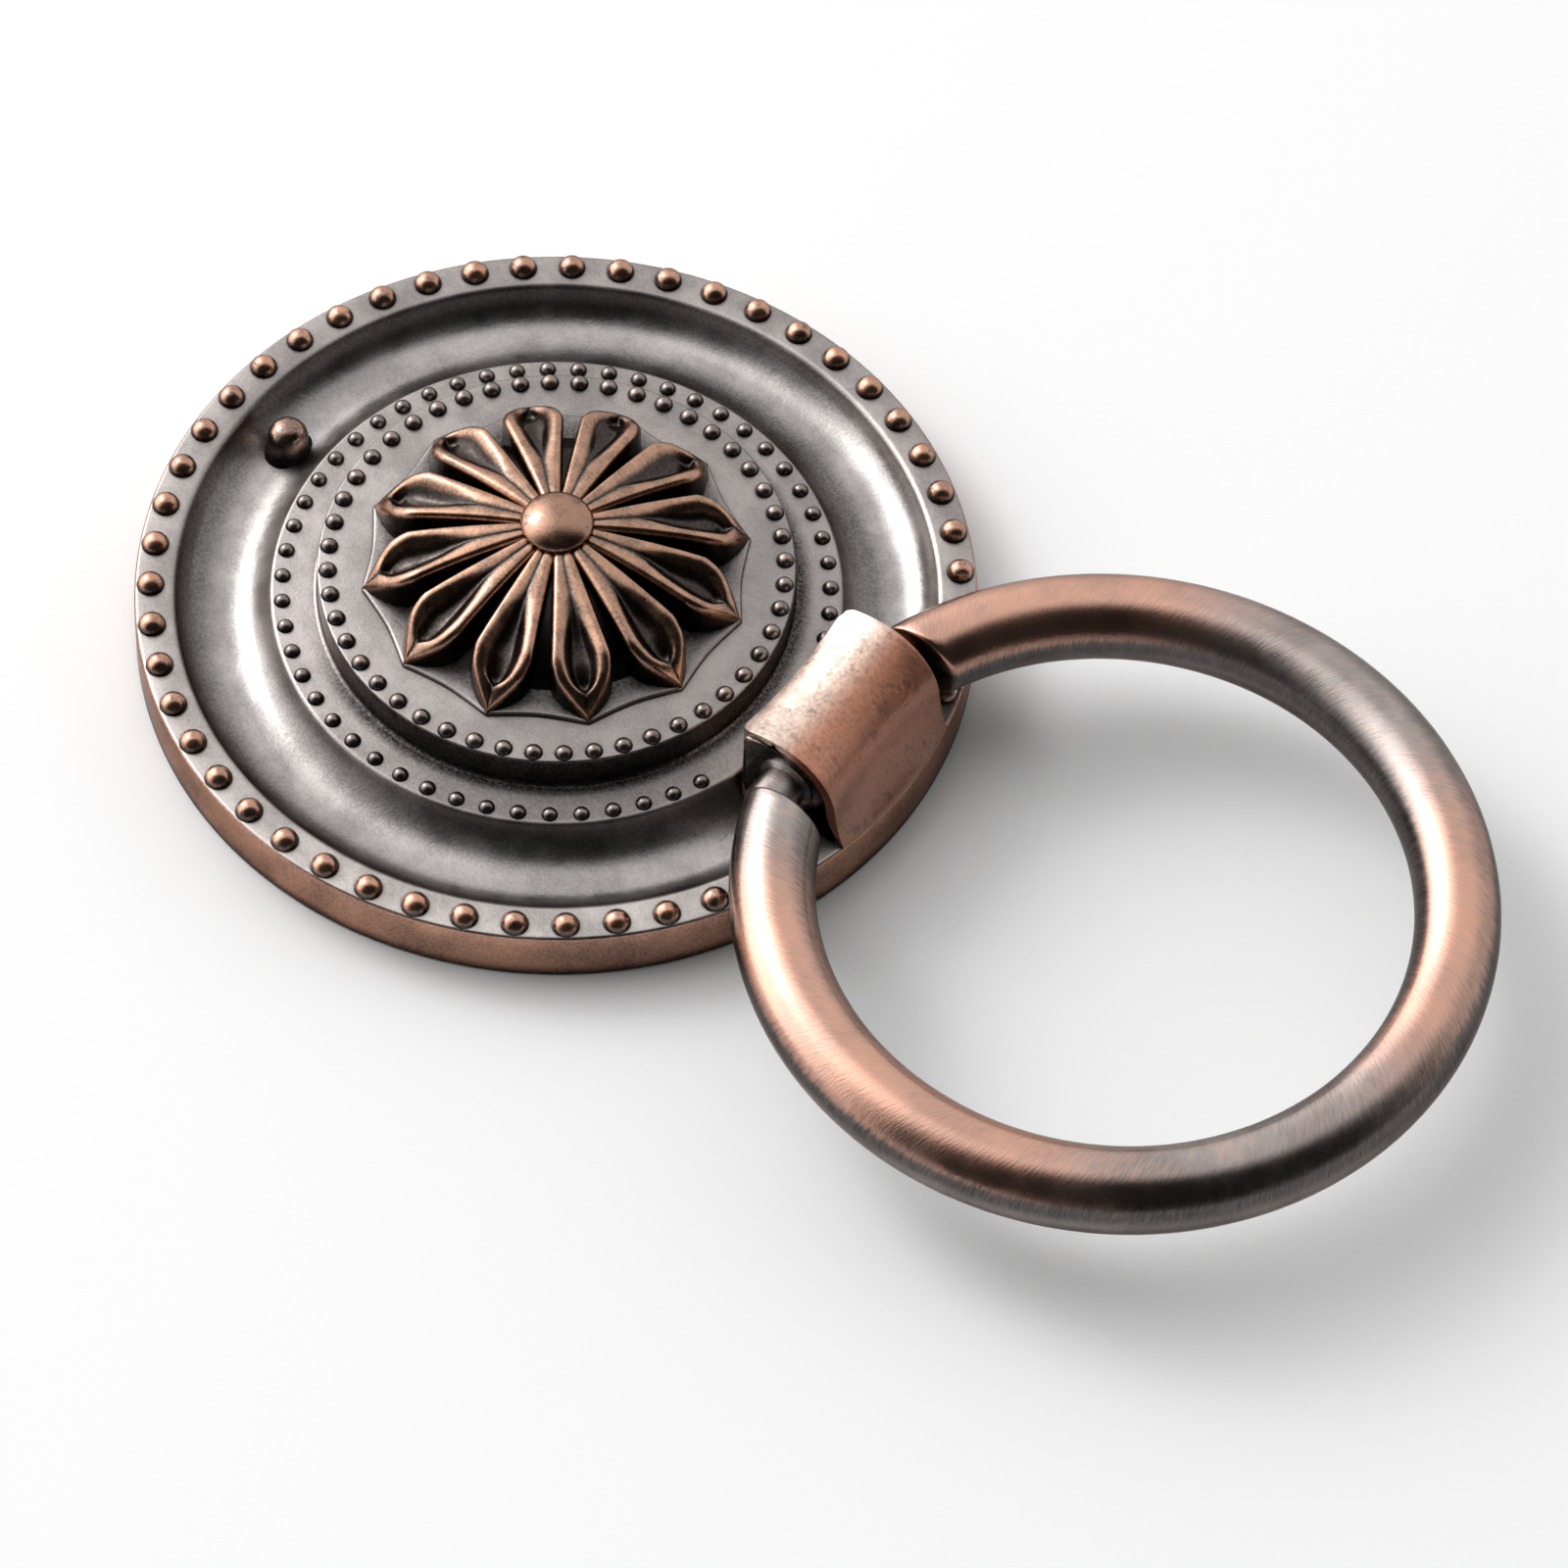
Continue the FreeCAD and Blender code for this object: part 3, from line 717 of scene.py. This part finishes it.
# Painted shade: this hollow test also counts the ring, which darkens the plate and the lug close to
# it.
outside = add(tree, "ShaderNodeAmbientOcclusion", {"samples": 8},
              Distance=calc(tree, "MULTIPLY", given["Hollow Size"], mm))
inside = add(tree, "ShaderNodeAmbientOcclusion", {"samples": 8, "inside": True, "only_local": True},
             Distance=calc(tree, "MULTIPLY", given["Edge Size"], mm))
tree.links.new(fade(tree, outside.outputs["AO"], 0.86, 0.42), result.inputs["Hollow"])
tree.links.new(fade(tree, inside.outputs["AO"], 0.85, 0.5), result.inputs["Edge"])
print("group", tree.name, "nodes", len(tree.nodes))

# %% [markdown]
# ## One start for every finish
# All the castings were plated and waxed together, so their finishes share one shader: plated metal
# under a thin clear coat, with the grain as a small bump.

# %% Start a material
def metal(name, coat=0.25, bump=0.15, coat_blur=0.14):
    """A metal material; returns its tree, its shader, its coordinates and its bump node."""
    material = bpy.data.materials.new(name)
    material.use_nodes = True
    tree = material.node_tree
    shader = tree.nodes["Principled BSDF"]
    shader.inputs["Metallic"].default_value = 1.0
    shader.inputs["Coat Weight"].default_value = coat
    shader.inputs["Coat Roughness"].default_value = coat_blur
    shader.inputs["Specular Tint"].default_value = (0.32, 0.28, 0.26, 1)
    where = add(tree, "ShaderNodeTexCoord").outputs["Object"]
    relief = add(tree, "ShaderNodeBump", Strength=bump, Distance=0.1 * mm)
    tree.links.new(relief.outputs["Normal"], shader.inputs["Normal"])
    return material, tree, shader, where, relief


def wire(tree, colour_outputs, shader, relief, height):
    """Plug the colour, the gloss and the relief into the shader."""
    tree.links.new(colour_outputs["Color"], shader.inputs["Base Color"])
    tree.links.new(colour_outputs["Roughness"], shader.inputs["Roughness"])
    tree.links.new(height, relief.inputs["Height"])


def from_axis(tree, where):
    """Distance from the plate's axis and height, in millimetres."""
    split = add(tree, "ShaderNodeSeparateXYZ", Vector=where).outputs
    flat = add(tree, "ShaderNodeCombineXYZ", X=split["X"], Y=split["Y"])
    length = add(tree, "ShaderNodeVectorMath", {"operation": "LENGTH"}, i0=flat.outputs[0])
    return (calc(tree, "MULTIPLY", length.outputs["Value"], 1 / mm),
            calc(tree, "MULTIPLY", split["Z"], 1 / mm))


# %% [markdown]
# ## Where the plate's patina and painted shade lie
# The plate is gunmetal grey, black with patina against the steps and down both sides of the trough.
# Distance from the axis and height tell those zones apart. Each zone is also weighed by the angle
# round the plate as painted shade: darker on some sides, and left off on the side that faces the
# bright light.

# %% Start the plate's finish, its patina and its painted shade
plate_metal, tree, shader, where, relief = metal("gunmetal_patina", coat=0.25, bump=0.14)
grain = place_group(tree, "cast_grain", Vector=where, Fine_Size=0.22, Patch_Size=4.5, Pits=0.5)
reach = place_group(tree, "reach_of_the_wheel", Hollow_Size=1.6, Edge_Size=0.35)
radius, height = from_axis(tree, where)
split = add(tree, "ShaderNodeSeparateXYZ", Vector=where).outputs
turned = calc(tree, "ARCTAN2", split["Y"], split["X"])


def band(start, full, last, end):
    """1 between two radii, fading in before them and out after them."""
    return times(tree, fade(tree, radius, start, full), fade(tree, radius, end, last))


# Painted shade: each zone below is weighed by the angle round the plate, and this side mask is 0 where
# the slope faces the bright light.
painted_shade_side = calc(tree, "SUBTRACT", 1.0, near_turn(tree, turned, 195, 60))
slope_dark = times(tree, band(21.9, 22.4, 23.4, 25.6), fade(tree, height, 5.2, 4.8),
                   painted_shade_side, 0.42)
slope_foot = times(tree, band(22.6, 23.3, 24.5, 26.2), near_turn(tree, turned, 80, 85), 0.62)
step_dark = times(tree, band(18.2, 18.45, 18.8, 20.2), painted_shade_side, 0.9)
shoulder_dark = times(tree, band(18.2, 18.45, 21.4, 22.2), near_turn(tree, turned, 305, 65), 0.35)
rim_foot = times(tree, band(26.8, 28.6, 29.3, 29.7), 0.5,
                 calc(tree, "SUBTRACT", 1.0, near_turn(tree, turned, 52, 32)))
rim_foot_wide = times(tree, band(25.9, 28.0, 29.3, 29.7), near_turn(tree, turned, 222, 75), 0.6)
between_petals = times(tree, fade(tree, radius, 15.0, 12.6), 0.75)
hollow = most(tree, reach["Hollow"], slope_dark, slope_foot, step_dark, shoulder_dark, rim_foot,
              rim_foot_wide, between_petals)
print("nodes so far", len(tree.nodes))

# %% [markdown]
# ## The plate's tones
# Round its side, where hands have rubbed it, the plate is brown copper. The rim's flat top is made
# a little paler along one side than along the other, which is painted light, and the trough is
# glossier than the flats.

# %% Finish the plate and its sheet
side = fade(tree, radius, 32.3, 32.45)
side_worn = times(tree, side, calc(tree, "MULTIPLY_ADD", grain["Patch"], 0.3, 0.3),
                  fade(tree, height, 0.2, 1.4))
rub = most(tree, side_worn, times(tree, reach["Edge"], 0.35))
# Painted light: the rim's flat top is made paler towards one side of the plate.
painted_light_side = calc(tree, "MULTIPLY_ADD", split["X"], 0.3, calc(tree, "MULTIPLY", split["Y"], -1.0))
rim_painted_light = times(tree, fade(tree, radius, 29.2, 29.6), fade(tree, painted_light_side, -22 * mm, 24 * mm))
in_trough = band(22.6, 24.2, 29.2, 29.5)
satin = blend(tree, in_trough, (0.32, 0.29, 0.28, 1), (0.37, 0.345, 0.335, 1))
land = blend(tree, rim_painted_light, satin, (0.45, 0.41, 0.39, 1))
body = blend(tree, side, land, (0.2, 0.12, 0.09, 1))
aged = place_group(tree, "aged_copper", Body=body, Hollow=hollow, Rub=rub, Fine=grain["Fine"],
                   Patch=grain["Patch"], Gloss=calc(tree, "MULTIPLY_ADD", in_trough, -0.08, 0.33))
wire(tree, aged, shader, relief, grain["Height"])
for piece in (plate_piece, sheet_piece):
    piece.data.materials.append(plate_metal)
print(plate_metal.name, "nodes", len(tree.nodes))

# %% [markdown]
# ## Beads, button and nub
# The beads on the rim stand proudest, so their tops are bare copper and only their feet stay black.
# The two inner rings are finer and darker, with a mere blush of copper on the very top.

# %% Finish the beads, the button and the nub
def bead_finish(name, foot, top, rubbed, body, copper):
    """Aged copper that is black at a foot height and rubbed towards a top height."""
    material, tree, shader, where, relief = metal(name, coat=0.35, bump=0.12)
    grain = place_group(tree, "cast_grain", Vector=where, Fine_Size=0.22, Patch_Size=1.6, Pits=0.5)
    height = from_axis(tree, where)[1]
    pitted = times(tree, grain["Pit"], 0.7)
    hollow = most(tree, fade(tree, height, top, foot), pitted)
    rub = times(tree, fade(tree, height, foot + (top - foot) * 0.4, top), rubbed,
                calc(tree, "MULTIPLY_ADD", grain["Patch"], 0.5, 0.6))
    patchy = calc(tree, "SUBTRACT", rub, pitted, clamp=True)
    aged = place_group(tree, "aged_copper", Body=body, Copper=copper, Hollow=hollow, Rub=patchy,
                       Fine=grain["Fine"], Patch=grain["Patch"], Gloss=0.24)
    wire(tree, aged, shader, relief, grain["Height"])
    print(name, "nodes", len(tree.nodes))
    return material


rubbed_copper, grey_brown = (0.62, 0.33, 0.22, 1), (0.2, 0.15, 0.13, 1)
dark_grey = (0.24, 0.205, 0.19, 1)
rim_beads.data.materials.append(
    bead_finish("rim_bead_copper", 4.9, 5.55, 0.85, grey_brown, rubbed_copper))
shoulder_beads.data.materials.append(
    bead_finish("shoulder_bead_metal", 4.95, 5.5, 0.12, dark_grey, rubbed_copper))
disc_beads.data.materials.append(
    bead_finish("disc_bead_metal", 7.95, 8.55, 0.2, dark_grey, rubbed_copper))
button_piece.data.materials.append(
    bead_finish("button_copper", 12.9, 13.35, 0.95, grey_brown, (0.4, 0.215, 0.145, 1)))
nub_piece.data.materials.append(
    bead_finish("nub_metal", 2.4, 4.6, 0.4, (0.14, 0.12, 0.11, 1), rubbed_copper))

# %% [markdown]
# ## The flower's finish
# The carving has the strongest contrast of all: black in the petals and between them, bare copper
# along the ribs. Each point of a petal already knows how far up its rib it is, from the mark that
# was stored while it was shaped, so the material reads that mark.

# %% Finish the flower
flower_metal, tree, shader, where, relief = metal("carved_copper", coat=0.4, bump=0.14)
grain = place_group(tree, "cast_grain", Vector=where, Fine_Size=0.25, Patch_Size=1.8, Pits=0.4)
mark = add(tree, "ShaderNodeAttribute", {"attribute_name": "rub"}).outputs["Fac"]
worn = times(tree, fade(tree, mark, 0.3, 1.0), calc(tree, "MULTIPLY_ADD", grain["Patch"], 0.45, 0.45))
sunk = times(tree, fade(tree, mark, 0.9, 0.15), 0.85)
aged = place_group(tree, "aged_copper", Body=(0.15, 0.105, 0.08, 1), Copper=(0.52, 0.29, 0.195, 1),
                   Hollow=sunk, Rub=worn, Fine=grain["Fine"], Patch=grain["Patch"], Gloss=0.24)
wire(tree, aged, shader, relief, grain["Height"])
petals_piece.data.materials.append(flower_metal)

groove_metal, tree, shader, where, relief = metal("groove_black", coat=0.2, bump=0.2)
grain = place_group(tree, "cast_grain", Vector=where, Fine_Size=0.3, Patch_Size=1.5, Pits=0.3)
aged = place_group(tree, "aged_copper", Body=(0.05, 0.04, 0.035, 1), Hollow=0.5, Rub=0.0,
                   Fine=grain["Fine"], Patch=grain["Patch"])
wire(tree, aged, shader, relief, grain["Height"])
dome_piece.data.materials.append(groove_metal)
print(flower_metal.name, "and", groove_metal.name)

# %% [markdown]
# ## The lug's finish
# The lug's back is the part a thumb finds first, so it is rubbed almost bare. Its copper is pale at
# its crown, a painted highlight, and brown at its foot, a painted shade, and the sunk faces at its
# ends stay black.

# %% Finish the lug
lug_metal, tree, shader, where, relief = metal("lug_copper", coat=0.7, bump=0.16, coat_blur=0.22)
grain = place_group(tree, "cast_grain", Vector=where, Fine_Size=0.35, Patch_Size=2.2, Pits=0.9)
reach = place_group(tree, "reach_of_the_wheel", Hollow_Size=1.8, Edge_Size=0.3)
height = from_axis(tree, where)[1]
split = add(tree, "ShaderNodeSeparateXYZ", Vector=where).outputs
along = calc(tree, "ABSOLUTE", split["Y"])
off_x = calc(tree, "SUBTRACT", split["X"], lug_centre_x * mm)
off_z = calc(tree, "SUBTRACT", split["Z"], lug_centre_height * mm)
from_centre = calc(tree, "ADD", calc(tree, "POWER", off_x, 2.0), calc(tree, "POWER", off_z, 2.0))
from_centre = calc(tree, "SQRT", from_centre)
in_recess = times(tree, fade(tree, from_centre, 4.6 * mm, 4.35 * mm),
                  fade(tree, off_x, -3.78 * mm, -3.6 * mm), fade(tree, along, 4.9 * mm, 5.1 * mm))
hollow = most(tree, reach["Hollow"], times(tree, in_recess, 0.97), times(tree, grain["Pit"], 0.3))
proud = fade(tree, height, 3.0, 9.5)
bare = times(tree, calc(tree, "MULTIPLY_ADD", proud, 0.5, 0.42),
             calc(tree, "MULTIPLY_ADD", grain["Patch"], 0.3, 0.72),
             calc(tree, "SUBTRACT", 1.0, hollow))
# Painted highlight and shade: the copper is made pale on the lug's inner crown and brown at its outer
# foot.
highlight_pale_copper, mid_copper = (0.86, 0.68, 0.58, 1), (0.6, 0.25, 0.15, 1)
shaded_brown_copper = (0.36, 0.15, 0.09, 1)
copper = blend(tree, fade(tree, split["X"], 24.8 * mm, 27.6 * mm), highlight_pale_copper, mid_copper)
copper = blend(tree, fade(tree, split["X"], 28.6 * mm, 31.0 * mm), copper, shaded_brown_copper)
aged = place_group(tree, "aged_copper", Body=(0.2, 0.12, 0.09, 1), Copper=copper,
                   Hollow=hollow, Rub=bare, Fine=grain["Fine"], Patch=grain["Patch"], Gloss=0.42)
wire(tree, aged, shader, relief, grain["Height"])
lug_piece.data.materials.append(lug_metal)
print(lug_metal.name, "nodes", len(tree.nodes))

# %% [markdown]
# ## The brushing over the bar
# The ring was brushed across its bar while it was still black, so dark fine scratches run slantwise
# over it. The pattern has to follow the bend: its coordinates are the way round the ring and the
# two directions across the bar, with the noise drawn out along the scratches.

# %% Start the ring's finish and its scratches
ring_metal, tree, shader, where, relief = metal("brushed_copper", coat=0.4, bump=0.1)
bar_drop = 0.45
ring_middle = (ring_centre.x * mm, -side_shift * mm, (ring_centre.z - bar_drop) * mm)
shifted = add(tree, "ShaderNodeVectorMath", {"operation": "SUBTRACT"}, i0=where,
              i1=ring_middle).outputs[0]
split = add(tree, "ShaderNodeSeparateXYZ", Vector=shifted).outputs
flat = add(tree, "ShaderNodeCombineXYZ", X=split["X"], Y=split["Y"])
out = add(tree, "ShaderNodeVectorMath", {"operation": "LENGTH"}, i0=flat.outputs[0]).outputs["Value"]
across = calc(tree, "SUBTRACT", out, ring_radius * mm)
turned = calc(tree, "ARCTAN2", split["Y"], split["X"])
slant = calc(tree, "MULTIPLY_ADD", across, 0.6, calc(tree, "MULTIPLY", turned, ring_radius * mm))
bar_place = add(tree, "ShaderNodeCombineXYZ", X=calc(tree, "MULTIPLY", slant, 7.0), Y=across,
                Z=split["Z"]).outputs[0]
scratches = add(tree, "ShaderNodeTexNoise", Vector=bar_place, Scale=900.0, Detail=4.0,
                Roughness=0.6).outputs["Fac"]
grain = place_group(tree, "cast_grain", Vector=where, Fine_Size=0.25, Patch_Size=6.0, Pits=0.3)
print("nodes so far", len(tree.nodes))

# %% [markdown]
# ## The ring's copper, its patina and its painted reflections
# The bar is rubbed to copper on top, and three stretches round it are greyer, with less copper. Its
# flanks are made dark as a painted reflection and its underside as a painted shade, and in three more
# stretches the painted dark reflection climbs higher up its sides. The pins are never touched, and
# stay grey.

# %% Finish the ring
grey = most(tree, near_turn(tree, turned, 80, 40), near_turn(tree, turned, -32, 42),
            near_turn(tree, turned, -162, 24))
grey = calc(tree, "MULTIPLY", grey, calc(tree, "MULTIPLY_ADD", grain["Patch"], 0.4, 0.75), clamp=True)
copper_share = calc(tree, "MULTIPLY_ADD", grain["Patch"], 0.2, 0.58)
copper_share = calc(tree, "MULTIPLY_ADD", grey, -0.6, copper_share)
pins = times(tree, fade(tree, calc(tree, "ABSOLUTE", split["Y"]), 8.3 * mm, 7.9 * mm),
             fade(tree, split["X"], -20 * mm, -21 * mm))
copper_share = times(tree, copper_share, calc(tree, "SUBTRACT", 1.0, pins))
bare = calc(tree, "MULTIPLY_ADD", scratches, 0.3, calc(tree, "SUBTRACT", copper_share, 0.17))
# Painted shade and reflection: the underside and a band along each flank are made dark, and the
# underside gets no copper.
under = fade(tree, split["Z"], 2.2 * mm, 0.8 * mm)
flank = times(tree, fade(tree, split["Z"], 2.3 * mm, 1.6 * mm),
              fade(tree, split["Z"], -0.6 * mm, 0.7 * mm))
sunk = calc(tree, "MULTIPLY_ADD", flank, 0.55, calc(tree, "MULTIPLY", under, 0.25))
# Painted dark reflection: three stretches of the bar's sides are made darker.
outside = times(tree, fade(tree, across, 0.6 * mm, 1.9 * mm), near_turn(tree, turned, 32, 85), 0.5)
inside = times(tree, fade(tree, across, -1.9 * mm, -2.7 * mm), near_turn(tree, turned, 60, 75), 0.75)
lug_end = times(tree, fade(tree, across, -0.8 * mm, -2.0 * mm), near_turn(tree, turned, -140, 45), 0.5)
painted_dark_stretches = most(tree, outside, inside, lug_end)
bare = times(tree, bare, calc(tree, "SUBTRACT", 1.0, painted_dark_stretches), calc(tree, "SUBTRACT", 1.0, under))
lines = fade(tree, scratches, 0.15, 0.85)
aged = place_group(tree, "aged_copper", Body=(0.34, 0.3, 0.285, 1), Copper=(0.74, 0.37, 0.25, 1),
                   Hollow=most(tree, sunk, painted_dark_stretches), Rub=bare, Fine=lines, Patch=grain["Patch"],
                   Gloss=0.22)
wire(tree, aged, shader, relief, calc(tree, "MULTIPLY_ADD", lines, 1.2, grain["Height"]))
ring_piece.data.materials.append(ring_metal)
print(ring_metal.name, "nodes", len(tree.nodes))

# %% [markdown]
# ## The table
# The picture was taken on a white table, so the pull stands on a large pale sheet that takes its
# soft shadow.

# %% Lay the table
table_mesh = bmesh.new()
bmesh.ops.create_grid(table_mesh, x_segments=1, y_segments=1, size=1.5)
table_data = bpy.data.meshes.new("table")
table_mesh.to_mesh(table_data)
table_mesh.free()
table = bpy.data.objects.new("table", table_data)
bpy.context.scene.collection.objects.link(table)
table_finish = bpy.data.materials.new("white_table")
table_finish.use_nodes = True
table_shader = table_finish.node_tree.nodes["Principled BSDF"]
table_shader.inputs["Base Color"].default_value = (0.9, 0.9, 0.9, 1)
table_shader.inputs["Roughness"].default_value = 0.7
table_shader.inputs["Specular IOR Level"].default_value = 0.2
table_data.materials.append(table_finish)
print("table", table.dimensions.x, "m wide")

# %% [markdown]
# ## The soft light
# Polished metal shows whatever is round it, so the sky is not one grey. A real softbox is a bright
# panel in a darker room: the sky glows towards the panel and overhead and is dark on the other
# side, which gives the bar its dark bands. One broad lamp on the panel's side casts the shadow.

# %% Light the sky and hang the lamp
sky = bpy.data.worlds.new("studio")
bpy.context.scene.world = sky
sky.use_nodes = True
tree = sky.node_tree
toward = add(tree, "ShaderNodeTexCoord").outputs["Generated"]


def facing(direction):
    """How squarely a part of the sky lies in one direction, from -1 to 1."""
    dot = add(tree, "ShaderNodeVectorMath", {"operation": "DOT_PRODUCT"}, i0=toward,
              i1=Vector(direction).normalized())
    return dot.outputs["Value"]


dark_room = fade(tree, facing((0.718, -0.646, 0.259)), 0.14, 0.52)
glow = fade(tree, facing((-0.93, -0.05, 0.3)), 0.6, 0.98)
overhead = fade(tree, facing((-0.55, -0.06, 0.83)), 0.86, 0.985)
level = calc(tree, "MULTIPLY_ADD", dark_room, -0.95, 0.97)
level = calc(tree, "MULTIPLY_ADD", glow, 1.9, level)
level = calc(tree, "MULTIPLY_ADD", overhead, 0.8, level)
tree.links.new(level, tree.nodes["Background"].inputs["Color"])

lamp = bpy.data.lights.new("soft_box", "AREA")
lamp.energy, lamp.size = 1.2, 0.22
box = bpy.data.objects.new("soft_box", lamp)
bpy.context.scene.collection.objects.link(box)
box.location = (-0.5, 0.02, 0.38)
box.rotation_euler = (Vector((0.02, 0, 0)) - box.location).to_track_quat("-Z", "Y").to_euler()
bpy.context.scene.view_settings.view_transform = "Standard"
print("lamp", lamp.energy, "W")
